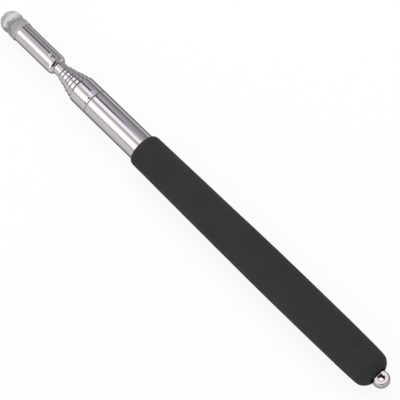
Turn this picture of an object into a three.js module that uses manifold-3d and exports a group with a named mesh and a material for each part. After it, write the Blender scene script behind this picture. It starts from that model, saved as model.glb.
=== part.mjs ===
// Telescopic pointer, closed.
//
// Six drawn steel tubes nest in a handle tube with a foam grip. The front lip of each tube is
// swaged in to a sliding fit on the tube inside it. The rear end of each tube is necked and
// carries a split friction bush, which rubs in the bore round it and stops behind that bore's
// lip when the tube is pulled out. The smallest tube ends in a ferrule with a soft stylus dome.
// A drilled ball for a wrist cord is screwed into the end plug of the handle.
//
// Millimetres. X runs from the dome to the ball, Z is up, and the pointer lies on its grip.
// Along X, lengths are measured from the step where the collar meets the handle tube.

import * as THREE from "three";
import { mergeVertices } from "three/addons/utils/BufferGeometryUtils.js";
import Module from "manifold-3d";

const wasm = await Module();
wasm.setup();

// Driving dimensions.

// Flats round every turned piece. All are in phase, so nested tubes keep their clearance.
const SIDES = 24;

// Radial gaps of a sliding and a pressed fit, and end gaps at a fixed seat and a moving stop.
const SLIDE_GAP = 0.04;
const PRESS_GAP = 0.02;
const SEAT_GAP = 0.05;
const STOP_GAP = 0.3;

// Sliding tubes, counted from the smallest.
const STAGES = 6;
const STAGE_1_OD = 4.86;
const STAGE_OD_STEP = 0.83;
const STAGE_WALL = 0.25;
const LIP_LENGTH = 0.55;
const LIP_EDGE = 0.08;

// How far the lip of each tube from stage 2 on stands out of the next one when closed.
const LIP_SHOWS = [1.6, 1.85, 1.15, 1.7, 1.7];

// Necked rear end of a tube, and the split bush that sits round it.
const REAR_NECK_DEPTH = 0.15;
const REAR_NECK_TAPER = 0.3;
const REAR_RIM_LENGTH = 0.8;
const REAR_RIM_DROP = 0.03;
const BUSH_LENGTH = 5.0;
const BUSH_END_PLAY = 0.1;
const BUSH_CROWN = 0.06;
const BUSH_CROWN_LENGTH = 1.2;
const BUSH_SLIT = 0.5;

// Handle tube, with a necked front under the collar.
const HANDLE_LENGTH = 129.9;
const HANDLE_WALL = 0.32;
const HANDLE_BORE_SPACE = 0.225;
const HANDLE_NECK_LENGTH = 6.0;
const HANDLE_NECK_WALL = 0.23;
const HANDLE_NECK_SPACE = 0.075;
const HANDLE_EDGE_ROUND = 0.2;

// Collar pressed over the neck of the handle tube and staked at its rear edge.
const COLLAR_LENGTH = 7.7;
const COLLAR_WALL = 0.22;
const COLLAR_TAPER = 0.1;
const COLLAR_NOSE_LENGTH = 0.7;
const COLLAR_EDGE_ROUND = 0.12;
const COLLAR_REAR_GAP = 0.15;
const STAKE_INSET = 0.9;
const STAKE_DEPTH = 0.14;
const STAKE_RADIUS = 0.28;
const STAKE_PRONG_ANGLES = [19, 43];

// Ferrule and the adapter that joins it to stage 1.
const FERRULE_LENGTH = 18.6;
const FERRULE_WALL = 0.38;
const FERRULE_MOUTH_GAP = 0.07;
const FERRULE_ROLL_RADIUS = 1.68;
const FERRULE_EDGE_ROUND = 0.06;
const SHANK_SHOWS = 3.0;
const ADAPTER_WALL = 0.755;
const ADAPTER_LENGTH = 9.5;
const ADAPTER_SOCKET_DEPTH = 1.7;
const ADAPTER_WEB = 1.0;
const ADAPTER_VENT_RADIUS = 0.8;
const ADAPTER_CHAMFER = 0.25;

// Soft stylus dome, the core inside it and the ring that holds its skirt.
const DOME_LENGTH = 9.3;
const DOME_OVERHANG = 0.275;
const DOME_WALL = 1.05;
const DOME_EDGE_ROUND = 0.12;
const SKIRT_LENGTH = 3.5;
const SKIRT_WALL = 0.7;
const CORE_SHOULDER = 0.6;
const RING_WALL = 0.56;

// Foam grip. It thickens in a straight taper from the front to a belly, and thins again to its
// rounded rear end. Below, the foam is pressed flat to the rest depth, where the pointer lies.
const GRIP_START = 23.5;
const GRIP_END_WALL = 1.85;
const GRIP_END_ROUND_LENGTH = 3.8;
const GRIP_GAP = 0.05;
const GRIP_FRONT_THICKNESS = 1.03;
const GRIP_BELLY_THICKNESS = 1.67;
const GRIP_REAR_THICKNESS = 1.2;
const GRIP_BELLY_START = 57.85;
const GRIP_BELLY_LENGTH = 18.0;
const GRIP_FRONT_ROUND = [1.8, 0.85];
const GRIP_REST_DEPTH = 0.5;

// End plug and the drilled ball screwed into it.
const PLUG_BODY_LENGTH = 7.2;
const PLUG_FLANGE = 1.2;
const PLUG_GROOVE_DEPTH = 0.35;
const PLUG_GROOVE_WIDTH = 1.0;
const BALL_RADIUS = 2.9;
const BALL_STAND_OFF = 0.15;
const BALL_ACROSS_FLATS = 3.6;
const BALL_HOLE_RADIUS = 1.05;
const BALL_HOLE_CHAMFER = 0.2;
const BALL_SINK_GAP = 0.19;
const STEM_RADIUS = 1.45;
const STEM_LENGTH = 7.0;
const STEM_CHAMFER = 0.3;

// Finishes.

const polished = { color: 0xc9c7cc, roughness: 0.12, metalness: 1.0 };
const nickel = { color: 0xc8c0bf, roughness: 0.22, metalness: 1.0 };
const brass = { color: 0xb59a5b, roughness: 0.35, metalness: 1.0 };
const bronze = { color: 0xa9794a, roughness: 0.4, metalness: 1.0 };
const foam = { color: 0x363636, roughness: 0.95, metalness: 0.0 };
const stylus = { color: 0xa9a9a8, roughness: 0.75, metalness: 0.0 };
const nylon = { color: 0xd8d6cf, roughness: 0.6, metalness: 0.0 };

// Geometry helpers.

// Points of an elliptical arc about [x, r], with half axes [along, across] and angles in
// degrees, where 0 points along +X and 90 points away from the axis.
function arc([x, r], [along, across], from, to, steps) {
  const points = [];
  for (let i = 0; i <= steps; i++) {
    const a = THREE.MathUtils.degToRad(from + ((to - from) * i) / steps);
    points.push([x + along * Math.cos(a), r + across * Math.sin(a)]);
  }
  return points;
}

// Turns a profile of [x, radius] points round the X axis. The profile runs towards +X along
// the outside. It returns along the bore to where it began, or starts and ends on the axis.
function turned(profile, bored = true) {
  const closed = bored ? [...profile, profile[0]] : profile;
  const points = closed.map(([x, r]) => new THREE.Vector2(r, x));
  const geometry = new THREE.LatheGeometry(points, SIDES, Math.PI / SIDES);
  return geometry.rotateZ(-Math.PI / 2);
}

function solidOf(geometry) {
  const bare = geometry.clone();
  bare.deleteAttribute("normal");
  bare.deleteAttribute("uv");
  const merged = mergeVertices(bare);
  const mesh = new wasm.Mesh({
    numProp: 3,
    vertProperties: new Float32Array(merged.attributes.position.array),
    triVerts: new Uint32Array(merged.index.array),
  });
  return new wasm.Manifold(mesh);
}

function cut(geometry, tools) {
  let solid = solidOf(geometry);
  for (const tool of tools) {
    solid = solid.subtract(solidOf(tool));
  }
  const mesh = solid.getMesh();
  const result = new THREE.BufferGeometry();
  result.setAttribute("position", new THREE.BufferAttribute(mesh.vertProperties, 3));
  result.setIndex(new THREE.BufferAttribute(mesh.triVerts, 1));
  result.computeVertexNormals();
  return result;
}

function piece(name, geometry, finish, parent, x = 0) {
  const mesh = new THREE.Mesh(geometry, new THREE.MeshStandardMaterial(finish));
  mesh.name = name;
  mesh.position.x = x;
  parent.add(mesh);
  return mesh;
}

// Sizes that follow from the driving dimensions.

function stageRadius(stage) {
  return (STAGE_1_OD + STAGE_OD_STEP * (stage - 1)) / 2;
}

const largest = stageRadius(STAGES);
const handleBore = largest + HANDLE_BORE_SPACE;
const handleRadius = handleBore + HANDLE_WALL;
const neckBore = largest + HANDLE_NECK_SPACE;
const neckRadius = neckBore + HANDLE_NECK_WALL;
const collarBore = neckRadius + PRESS_GAP;
const collarRadius = collarBore + COLLAR_WALL;

const shank = stageRadius(1);
const adapterRadius = shank + PRESS_GAP + ADAPTER_WALL;
const ferruleBore = adapterRadius + PRESS_GAP;
const ferruleRadius = ferruleBore + FERRULE_WALL;
const domeRadius = ferruleRadius + DOME_OVERHANG;
const skirtRadius = ferruleBore - PRESS_GAP;
const ringRadius = skirtRadius - SKIRT_WALL - PRESS_GAP;
const coreStemRadius = ringRadius - RING_WALL - PRESS_GAP;
const coreHeadRadius = domeRadius - DOME_WALL - PRESS_GAP;

// Rear end of a tube from where its neck starts.
const rearNeckLength = REAR_NECK_TAPER + BUSH_LENGTH + 2 * BUSH_END_PLAY;
const rearLength = rearNeckLength + REAR_RIM_LENGTH;

// Lips, from stage 2 to the largest stage, and the closed rear ends that stack up on the plug.
const lipX = [];
const rearX = [];
const plugFront = HANDLE_LENGTH - PLUG_BODY_LENGTH;
for (let stage = STAGES; stage >= 1; stage--) {
  const outerLip = stage === STAGES ? -COLLAR_LENGTH : lipX[stage + 1];
  const outerStop = stage === STAGES ? plugFront : rearX[stage + 1] - rearLength;
  lipX[stage] = outerLip - (LIP_SHOWS[stage - 2] ?? 0);
  rearX[stage] = outerStop - STOP_GAP;
}
const ferruleRearX = lipX[2] - SHANK_SHOWS;
const ferruleFrontX = ferruleRearX - FERRULE_LENGTH;
const adapterFrontX = ferruleFrontX + SKIRT_LENGTH + SEAT_GAP;
const shankFrontX = adapterFrontX + ADAPTER_SOCKET_DEPTH + ADAPTER_WEB + SEAT_GAP;

// Grip, plug flange and ball, from the front to the rear.
const flangeEnd = HANDLE_LENGTH + SEAT_GAP + PLUG_FLANGE;
const gripEnd = flangeEnd + SEAT_GAP + GRIP_END_WALL;
const gripLength = gripEnd - GRIP_START;
const gripBore = handleRadius + GRIP_GAP;
const bellyRadius = gripBore + GRIP_BELLY_THICKNESS;
const restHeight = bellyRadius * Math.cos(Math.PI / SIDES) - GRIP_REST_DEPTH;
const ballX = flangeEnd + BALL_STAND_OFF + BALL_RADIUS;

// Sliding tubes and their friction bushes.

// Outside and bore of a tube's necked rear end, which closes the tube at x = length.
function rearEnd(radius, length) {
  const start = length - rearLength;
  const neck = radius - REAR_NECK_DEPTH;
  const rim = radius - REAR_RIM_DROP;
  return [
    [start, radius],
    [start + REAR_NECK_TAPER, neck],
    [length - REAR_RIM_LENGTH, neck],
    [length - REAR_RIM_LENGTH, rim],
    [length, rim],
    [length, neck - STAGE_WALL],
    [start + REAR_NECK_TAPER, neck - STAGE_WALL],
    [start, radius - STAGE_WALL],
  ];
}

// The smallest tube has a plain front end, which is pressed into the adapter.
function shankTube(length) {
  const radius = stageRadius(1);
  return turned([[0, radius - STAGE_WALL], [0, radius], ...rearEnd(radius, length)]);
}

// The other tubes are swaged in at the front to a rounded lip, square at the back.
function stageTube(stage, length) {
  const radius = stageRadius(stage);
  const lipBore = stageRadius(stage - 1) + SLIDE_GAP;
  const edge = lipBore + LIP_EDGE;
  return turned([
    [0, lipBore],
    ...arc([LIP_LENGTH, edge], [LIP_LENGTH, radius - edge], 180, 90, 4),
    ...rearEnd(radius, length),
    [LIP_LENGTH, radius - STAGE_WALL],
    [LIP_LENGTH, lipBore],
  ]);
}

// A bush is crowned at both ends and slit along its top, so that it springs against the bore.
function frictionBush(stage) {
  const outerBore =
    stage === STAGES ? handleBore : stageRadius(stage + 1) - STAGE_WALL;
  const radius = outerBore - SLIDE_GAP;
  const bore = stageRadius(stage) - REAR_NECK_DEPTH + PRESS_GAP;
  const ring = turned([
    [0, bore],
    [0, radius - BUSH_CROWN],
    [BUSH_CROWN_LENGTH, radius],
    [BUSH_LENGTH - BUSH_CROWN_LENGTH, radius],
    [BUSH_LENGTH, radius - BUSH_CROWN],
    [BUSH_LENGTH, bore],
  ]);
  const slit = new THREE.BoxGeometry(2 * BUSH_LENGTH, BUSH_SLIT, 2 * radius);
  slit.translate(BUSH_LENGTH / 2, 0, radius);
  return cut(ring, [slit]);
}

// Tip: dome, core, ring, ferrule and adapter.

function tipDome() {
  const skirtBore = skirtRadius - SKIRT_WALL;
  const hollow = domeRadius - DOME_WALL;
  const rear = DOME_LENGTH - SEAT_GAP;
  const innerFloor = rear - CORE_SHOULDER;
  return turned(
    [
      ...arc([domeRadius, 0], [domeRadius, domeRadius], 180, 90, 6),
      ...arc([rear - DOME_EDGE_ROUND, domeRadius - DOME_EDGE_ROUND],
        [DOME_EDGE_ROUND, DOME_EDGE_ROUND], 90, 0, 2),
      [rear, skirtRadius],
      [DOME_LENGTH + SKIRT_LENGTH, skirtRadius],
      [DOME_LENGTH + SKIRT_LENGTH, skirtBore],
      [innerFloor, skirtBore],
      [innerFloor - (hollow - skirtBore), hollow],
      ...arc([domeRadius, 0], [hollow, hollow], 90, 180, 5),
    ],
    false,
  );
}

function tipCore() {
  const rear = DOME_LENGTH - SEAT_GAP - CORE_SHOULDER - SEAT_GAP;
  const fall = coreHeadRadius - coreStemRadius;
  const stemEnd = DOME_LENGTH + SKIRT_LENGTH + ADAPTER_SOCKET_DEPTH;
  return turned(
    [
      ...arc([domeRadius, 0], [coreHeadRadius, coreHeadRadius], 180, 90, 5),
      [rear - fall, coreHeadRadius],
      [rear, coreStemRadius],
      [stemEnd, coreStemRadius],
      [stemEnd, 0],
    ],
    false,
  );
}

function retainingRing() {
  const length = SKIRT_LENGTH - 2 * SEAT_GAP;
  const bore = coreStemRadius + PRESS_GAP;
  return turned([
    [0, bore],
    [0, ringRadius],
    [length, ringRadius],
    [length, bore],
  ]);
}

// The rear end of the ferrule is rolled in, in one arc, down to the shank.
function ferrule() {
  const mouth = shank + FERRULE_MOUTH_GAP;
  const edge = FERRULE_EDGE_ROUND;
  const outer = FERRULE_ROLL_RADIUS;
  const inner = outer - FERRULE_WALL;
  const centre = ferruleRadius - outer;
  const [outerAngle, innerAngle] = [outer, inner].map((radius) => Math.asin((mouth - centre) / radius));
  const rollStart = FERRULE_LENGTH - outer * Math.cos(outerAngle);
  const toDegrees = THREE.MathUtils.radToDeg;
  return turned([
    [0, ferruleBore],
    ...arc([edge, ferruleRadius - edge], [edge, edge], 180, 90, 2),
    ...arc([rollStart, centre], [outer, outer], 90, toDegrees(outerAngle), 5),
    ...arc([rollStart, centre], [inner, inner], toDegrees(innerAngle), 90, 3),
  ]);
}

function adapter() {
  const socket = coreStemRadius + PRESS_GAP;
  const shankBore = shank + PRESS_GAP;
  const webStart = ADAPTER_SOCKET_DEPTH;
  const webEnd = webStart + ADAPTER_WEB;
  return turned([
    [0, socket],
    [0, adapterRadius],
    [ADAPTER_LENGTH - ADAPTER_CHAMFER, adapterRadius],
    [ADAPTER_LENGTH, adapterRadius - ADAPTER_CHAMFER],
    [ADAPTER_LENGTH, shankBore],
    [webEnd, shankBore],
    [webEnd, ADAPTER_VENT_RADIUS],
    [webStart, ADAPTER_VENT_RADIUS],
    [webStart, socket],
  ]);
}

// Handle: tube, collar, grip, plug and ball.

function handleTube() {
  const front = -HANDLE_NECK_LENGTH;
  const round = HANDLE_EDGE_ROUND;
  const stop = round + LIP_LENGTH / 2;
  return turned([
    [front, neckBore],
    [front, neckRadius],
    [0, neckRadius],
    ...arc([round, handleRadius - round], [round, round], 180, 90, 2),
    [HANDLE_LENGTH, handleRadius],
    [HANDLE_LENGTH, handleBore],
    [stop, handleBore],
    [stop, neckBore],
  ]);
}

// A pair of punch marks on each side stakes the collar to the neck.
function stakeMarks() {
  const marks = [];
  const flare = 2;
  for (const side of [0, 180]) {
    for (const prong of STAKE_PRONG_ANGLES) {
      const cone = new THREE.ConeGeometry(flare * STAKE_RADIUS, flare * STAKE_DEPTH, 8);
      cone.rotateX(-Math.PI / 2);
      cone.translate(0, 0, collarRadius - STAKE_DEPTH + (flare * STAKE_DEPTH) / 2);
      cone.rotateX(THREE.MathUtils.degToRad(side + prong));
      cone.translate(-STAKE_INSET, 0, 0);
      marks.push(cone);
    }
  }
  return marks;
}

function collar() {
  const front = -COLLAR_LENGTH;
  const rear = -COLLAR_REAR_GAP;
  const lipBore = largest + SLIDE_GAP;
  const edge = lipBore + LIP_EDGE;
  const frontRadius = collarRadius - COLLAR_TAPER;
  const noseEnd = front + COLLAR_NOSE_LENGTH;
  const round = COLLAR_EDGE_ROUND;
  const step = -HANDLE_NECK_LENGTH - SEAT_GAP;
  const sleeve = turned([
    [front, lipBore],
    ...arc([noseEnd, edge], [COLLAR_NOSE_LENGTH, frontRadius - edge], 180, 90, 4),
    ...arc([rear - round, collarRadius - round], [round, round], 90, 0, 2),
    [rear, collarBore],
    [step, collarBore],
    [step, lipBore],
  ]);
  return cut(sleeve, stakeMarks());
}

// The foam sleeve wraps the tube and the plug's flange. Its rear end rounds in, as part of an
// ellipse about the axis, to a mouth that clears the ball where the foam ends.
function grip() {
  const front = gripBore + GRIP_FRONT_THICKNESS;
  const rear = gripBore + GRIP_REAR_THICKNESS;
  const ballSection = Math.sqrt(BALL_RADIUS ** 2 - (ballX - gripEnd) ** 2);
  const mouth = ballSection + BALL_SINK_GAP;
  const mouthAngle = Math.asin(mouth / rear);
  const [roundLength, roundHeight] = GRIP_FRONT_ROUND;
  const bellyEnd = GRIP_BELLY_START + GRIP_BELLY_LENGTH;
  const endStart = gripLength - GRIP_END_ROUND_LENGTH;
  const endRound = [GRIP_END_ROUND_LENGTH / Math.cos(mouthAngle), rear];
  const fall = [endStart - bellyEnd, bellyRadius - rear];
  const boreEnd = gripLength - GRIP_END_WALL;
  const mouthDegrees = THREE.MathUtils.radToDeg(mouthAngle);
  const sleeve = turned([
    [0, gripBore],
    ...arc([roundLength, front - roundHeight], [roundLength, roundHeight], 180, 90, 3),
    [GRIP_BELLY_START, bellyRadius],
    ...arc([bellyEnd, rear], fall, 90, 0, 4),
    ...arc([endStart, 0], endRound, 90, mouthDegrees, 6).slice(1),
    [boreEnd, mouth],
    [boreEnd, gripBore],
  ]);
  const table = new THREE.BoxGeometry(2 * gripLength, 4 * bellyRadius, bellyRadius);
  table.translate(gripLength / 2, 0, -restHeight - bellyRadius / 2);
  return cut(sleeve, [table]);
}

function endPlug() {
  const radius = handleBore - PRESS_GAP;
  const bore = STEM_RADIUS + PRESS_GAP;
  const grooveStart = (PLUG_BODY_LENGTH - PLUG_GROOVE_WIDTH) / 2;
  const grooveEnd = grooveStart + PLUG_GROOVE_WIDTH;
  const flangeStart = PLUG_BODY_LENGTH + SEAT_GAP;
  return turned([
    [0, bore],
    [0, radius],
    [grooveStart, radius],
    [grooveStart, radius - PLUG_GROOVE_DEPTH],
    [grooveEnd, radius - PLUG_GROOVE_DEPTH],
    [grooveEnd, radius],
    [flangeStart, radius],
    [flangeStart, handleRadius],
    [flangeStart + PLUG_FLANGE, handleRadius],
    [flangeStart + PLUG_FLANGE, bore],
  ]);
}

// The ball is turned with its stem, milled flat above and below, drilled and chamfered.
function lanyardBall() {
  const stemFront = -BALL_RADIUS - BALL_STAND_OFF - STEM_LENGTH;
  const root = THREE.MathUtils.radToDeg(Math.asin(STEM_RADIUS / BALL_RADIUS));
  const ball = turned(
    [
      [stemFront, 0],
      [stemFront, STEM_RADIUS - STEM_CHAMFER],
      [stemFront + STEM_CHAMFER, STEM_RADIUS],
      ...arc([0, 0], [BALL_RADIUS, BALL_RADIUS], 180 - root, 0, 12),
    ],
    false,
  );
  const tools = [];
  const flat = BALL_ACROSS_FLATS / 2;
  const drill = new THREE.CylinderGeometry(
    BALL_HOLE_RADIUS, BALL_HOLE_RADIUS, 4 * BALL_RADIUS, SIDES);
  tools.push(drill.rotateX(Math.PI / 2));
  for (const side of [1, -1]) {
    const mill = new THREE.BoxGeometry(2 * BALL_RADIUS, 2 * BALL_RADIUS, BALL_RADIUS);
    mill.translate(0, 0, side * (flat + BALL_RADIUS / 2));
    tools.push(mill);
    const wide = BALL_HOLE_RADIUS + 2 * BALL_HOLE_CHAMFER;
    const sink = new THREE.CylinderGeometry(
      wide, BALL_HOLE_RADIUS, 2 * BALL_HOLE_CHAMFER, SIDES);
    sink.rotateX((side * Math.PI) / 2);
    sink.translate(0, 0, side * flat);
    tools.push(sink);
  }
  return cut(ball, tools);
}

// Assembly. Each tube's group hangs in the group of the tube round it, and slides along -X.

const pointer = new THREE.Group();
const handle = new THREE.Group();
pointer.add(handle);

piece("handle_tube", handleTube(), polished, handle);
piece("front_collar", collar(), polished, handle);
piece("grip_sleeve", grip(), foam, handle, GRIP_START);
piece("end_plug", endPlug(), brass, handle, plugFront);
piece("lanyard_eyelet", lanyardBall(), nickel, handle, ballX);

let carrier = handle;
for (let stage = STAGES; stage >= 1; stage--) {
  const slider = new THREE.Group();
  carrier.add(slider);
  carrier = slider;
  const frontX = stage === 1 ? shankFrontX : lipX[stage];
  const length = rearX[stage] - frontX;
  const tube = stage === 1 ? shankTube(length) : stageTube(stage, length);
  piece(`stage_${stage}`, tube, polished, slider, frontX);
  const bushX = rearX[stage] - REAR_RIM_LENGTH - BUSH_END_PLAY - BUSH_LENGTH;
  piece(`bush_${stage}`, frictionBush(stage), bronze, slider, bushX);
}

piece("tip_ferrule", ferrule(), polished, carrier, ferruleFrontX);
piece("ferrule_adapter", adapter(), brass, carrier, adapterFrontX);
piece("tip_dome", tipDome(), stylus, carrier, ferruleFrontX - DOME_LENGTH);
piece("tip_core", tipCore(), nylon, carrier, ferruleFrontX - DOME_LENGTH);
piece("tip_retaining_ring", retainingRing(), brass, carrier, ferruleFrontX + SEAT_GAP);

// The origin is under the middle of the closed pointer, in the plane that its grip lies on.
const tipEnd = ferruleFrontX - DOME_LENGTH;
const ballEnd = ballX + BALL_RADIUS;
pointer.position.x = -(tipEnd + ballEnd) / 2;
pointer.position.z = restHeight;

const part = new THREE.Group();
part.add(pointer);

export default part;
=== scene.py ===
import math

import bpy
from mathutils import Matrix, Vector


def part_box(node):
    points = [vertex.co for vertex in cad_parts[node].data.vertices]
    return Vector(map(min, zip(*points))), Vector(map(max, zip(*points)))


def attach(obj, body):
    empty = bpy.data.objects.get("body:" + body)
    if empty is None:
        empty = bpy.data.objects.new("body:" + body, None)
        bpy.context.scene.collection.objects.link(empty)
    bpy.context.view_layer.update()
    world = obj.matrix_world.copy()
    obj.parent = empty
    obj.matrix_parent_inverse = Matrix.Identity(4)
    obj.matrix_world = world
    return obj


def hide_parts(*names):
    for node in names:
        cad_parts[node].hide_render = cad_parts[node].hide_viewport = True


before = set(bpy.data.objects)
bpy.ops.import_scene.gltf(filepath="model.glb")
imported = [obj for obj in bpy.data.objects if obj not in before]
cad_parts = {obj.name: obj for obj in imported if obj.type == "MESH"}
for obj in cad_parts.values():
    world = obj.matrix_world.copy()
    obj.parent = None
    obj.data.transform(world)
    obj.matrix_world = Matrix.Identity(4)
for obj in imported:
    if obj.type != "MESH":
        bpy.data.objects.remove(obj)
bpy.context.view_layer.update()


# Handle tube
# The barrel is a drawn steel tube, plated and polished. Its front is swaged down to a neck for
# the collar, which leaves a rounded shoulder. The foam grip hides all but its front.

# Sizes are in millimetres, or in metres where a comment says so.
MM = 0.001
CAD_SIDES = 24

TUBE_FACETS = 128
HANDLE_WALL = 0.32
HANDLE_SHOULDER_ROUND = 0.2
HANDLE_NECK_LENGTH = 6.0
HANDLE_NECK_DROP = 0.24
HANDLE_NECK_WALL = 0.23
HANDLE_NECK_STOP = 0.475

STEEL_COLOUR = (0.54, 0.525, 0.54, 1)
STEEL_EDGE_TINT = (0.02, 0.02, 0.02, 1)
STEEL_SCUFF = (0.86, 0.84, 0.88, 1)
STEEL_PIT_SHADE = (0.05, 0.045, 0.05, 1)
STEEL_ROUGHNESS = 0.03
DRAW_LINE_PITCH = 0.35
DRAW_LINE_LENGTH = 30.0
DRAW_LINE_HEIGHT = 0.0009
DRAW_LINE_ROUGHNESS = 0.05
HAZE_SIZE = 6.0
HAZE_ROUGHNESS = 0.03
SCUFF_ROUGHNESS = 0.3
SPOT_CORE = 0.55

# Values of a noise texture between which a patch or a fine line fades in.
PATCH_EDGE = (0.35, 0.7)
LINE_EDGE = (0.6, 0.75)

SUPPORT_STEP = 0.2
LONG_STRETCH = 0.8

# In metres: the circle that a section is swept along, and the gap below which points are welded.
SWEEP_RADIUS = 0.01
WELD_DISTANCE = 2e-7


def span(node):
    """Front, rear and radius of a turned CAD node, in millimetres."""
    low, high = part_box(node)
    radius = (high.y - low.y) / 2 / math.cos(math.pi / CAD_SIDES)
    return low.x / MM, high.x / MM, radius / MM


def middle_height(node):
    low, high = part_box(node)
    return (low.z + high.z) / 2


AXIS_HEIGHT = middle_height("handle_tube")


class Wiring:
    """Adds nodes to a tree, each set up and wired in one call."""

    def __init__(self, tree):
        self.tree = tree

    def add(self, kind, inputs=None, **settings):
        node = self.tree.nodes.new(kind)
        for name, value in settings.items():
            setattr(node, name, value)
        for key, value in (inputs or {}).items():
            self.feed(node, key, value)
        return node

    def feed(self, node, key, value):
        if isinstance(value, bpy.types.NodeSocket):
            self.tree.links.new(value, node.inputs[key])
        else:
            node.inputs[key].default_value = value

    def maths(self, operation, *values):
        return self.add("ShaderNodeMath", dict(enumerate(values)), operation=operation).outputs[0]

    def point(self, x, y, z=0.0):
        return self.add("ShaderNodeCombineXYZ", {0: x, 1: y, 2: z}).outputs[0]

    def remap(self, value, low, high, to_low, to_high, smooth=False):
        kind = "SMOOTHSTEP" if smooth else "LINEAR"
        inputs = {0: value, 1: low, 2: high, 3: to_low, 4: to_high}
        return self.add("ShaderNodeMapRange", inputs, interpolation_type=kind).outputs[0]


SOCKETS = {float: "NodeSocketFloat", int: "NodeSocketInt", bpy.types.Material: "NodeSocketMaterial"}


def new_tree(name, inputs):
    """A geometry tree with these named inputs, its wiring and its input node."""
    tree = bpy.data.node_groups.new(name, "GeometryNodeTree")
    tree.interface.new_socket("Geometry", in_out="INPUT", socket_type="NodeSocketGeometry")
    tree.interface.new_socket("Geometry", in_out="OUTPUT", socket_type="NodeSocketGeometry")
    for label, kind in inputs.items():
        tree.interface.new_socket(label, in_out="INPUT", socket_type=SOCKETS[kind])
    wiring = Wiring(tree)
    return tree, wiring, wiring.add("NodeGroupInput").outputs


def close_tree(wiring, geometry, material):
    whole = wiring.add("GeometryNodeRealizeInstances", {0: geometry}).outputs[0]
    finished = wiring.add("GeometryNodeSetMaterial", {"Geometry": whole, "Material": material})
    wiring.add("NodeGroupOutput", {0: finished.outputs[0]})


def sweep_round_axis(wiring, section, sizes):
    """Sweeps a curve in the plane of (radius, length) round the pointer's axis."""
    circle = wiring.add("GeometryNodeCurvePrimitiveCircle",
                        {"Resolution": sizes["Facets"], "Radius": SWEEP_RADIUS})
    swept = wiring.add("GeometryNodeCurveToMesh",
                       {"Curve": circle.outputs[0], "Profile Curve": section})
    welded = wiring.add("GeometryNodeMergeByDistance",
                        {"Geometry": swept.outputs[0], "Distance": WELD_DISTANCE})
    laid = wiring.add("GeometryNodeTransform", {
        "Geometry": welded.outputs[0],
        "Translation": wiring.point(0.0, 0.0, sizes["Axis Height"]),
        "Rotation": (0.0, -math.pi / 2, 0.0),
    })
    return laid.outputs[0]


def turned_piece_tree():
    """Sweeps the section that the piece's own mesh holds."""
    inputs = {"Facets": int, "Axis Height": float, "Material": bpy.types.Material}
    tree, wiring, sizes = new_tree("turned_piece", inputs)
    section = wiring.add("GeometryNodeMeshToCurve", {0: sizes["Geometry"]}).outputs[0]
    close_tree(wiring, sweep_round_axis(wiring, section, sizes), sizes["Material"])
    return tree


def run_tree(piece, tree, values):
    """Runs a tree on a piece with its named inputs set, and keeps the result as a plain mesh."""
    modifier = piece.modifiers.new(tree.name, "NODES")
    modifier.node_group = tree
    for socket in tree.interface.items_tree:
        if socket.in_out == "INPUT" and socket.name in values:
            modifier[socket.identifier] = values[socket.name]
    evaluated = piece.evaluated_get(bpy.context.evaluated_depsgraph_get())
    plain = bpy.data.meshes.new_from_object(evaluated)
    piece.modifiers.remove(modifier)
    bare = piece.data
    piece.data = plain
    bpy.data.meshes.remove(bare)
    plain.name = piece.name
    return piece


def new_piece(name, points, edges=(), faces=()):
    mesh = bpy.data.meshes.new(name)
    mesh.from_pydata(points, edges, faces)
    piece = bpy.data.objects.new(name, mesh)
    bpy.context.scene.collection.objects.link(piece)
    return piece


def shade(piece, sharp_degrees=30):
    """Smooth shading, with creases where faces meet more sharply than that."""
    piece.data.shade_smooth()
    piece.data.set_sharp_from_angle(angle=math.radians(sharp_degrees))


def arc(centre, half_axes, start, end, steps=8):
    """Points of an elliptical arc. Angle 0 points to the rear, and 90 away from the axis."""
    points = []
    for step in range(steps + 1):
        angle = math.radians(start + (end - start) * step / steps)
        x = centre[0] + half_axes[0] * math.cos(angle)
        points.append((x, centre[1] + half_axes[1] * math.sin(angle)))
    return points


def supported(section, closed):
    """Adds a point near both ends of each long straight stretch, which keeps its shading true."""
    points = []
    count = len(section)
    for i, start in enumerate(section):
        points.append(start)
        if not closed and i == count - 1:
            break
        end = section[(i + 1) % count]
        length = math.dist(start, end)
        if length > LONG_STRETCH:
            share = SUPPORT_STEP / length
            points += [tuple(a + (b - a) * t for a, b in zip(start, end)) for t in (share, 1 - share)]
    return points


TURNED_PIECE = turned_piece_tree()


def turned(name, section, material, facets=TUBE_FACETS, closed=True):
    """A piece turned from a section of (x, radius) points in millimetres, outside first."""
    points = supported(section, closed)
    count = len(points)
    places = [(r * MM - SWEEP_RADIUS, x * MM, 0.0) for x, r in points]
    edges = [(i, (i + 1) % count) for i in range(count if closed else count - 1)]
    piece = new_piece(name, places, edges)
    values = {"Facets": facets, "Axis Height": AXIS_HEIGHT, "Material": material}
    run_tree(piece, TURNED_PIECE, values)
    shade(piece)
    return piece


def new_finish(name, colour, metallic):
    """A material with its surface node, its wiring and the place on the object in millimetres."""
    material = bpy.data.materials.new(name)
    material.use_nodes = True
    wiring = Wiring(material.node_tree)
    surface = material.node_tree.nodes["Principled BSDF"]
    surface.inputs["Base Color"].default_value = colour
    surface.inputs["Metallic"].default_value = metallic
    place = wiring.add("ShaderNodeTexCoord").outputs["Object"]
    scaled = wiring.add("ShaderNodeVectorMath", {0: place, "Scale": 1 / MM}, operation="SCALE")
    return material, surface, wiring, scaled.outputs[0]


def stretched(wiring, place, sizes):
    """The place divided by a grain's size along X, Y and Z."""
    return wiring.add("ShaderNodeVectorMath", {0: place, 1: sizes}, operation="DIVIDE").outputs[0]


def noise(wiring, place, size=1.0, detail=2.0):
    inputs = {"Vector": place, "Scale": 1 / size, "Detail": detail}
    return wiring.add("ShaderNodeTexNoise", inputs).outputs["Fac"]


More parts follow.
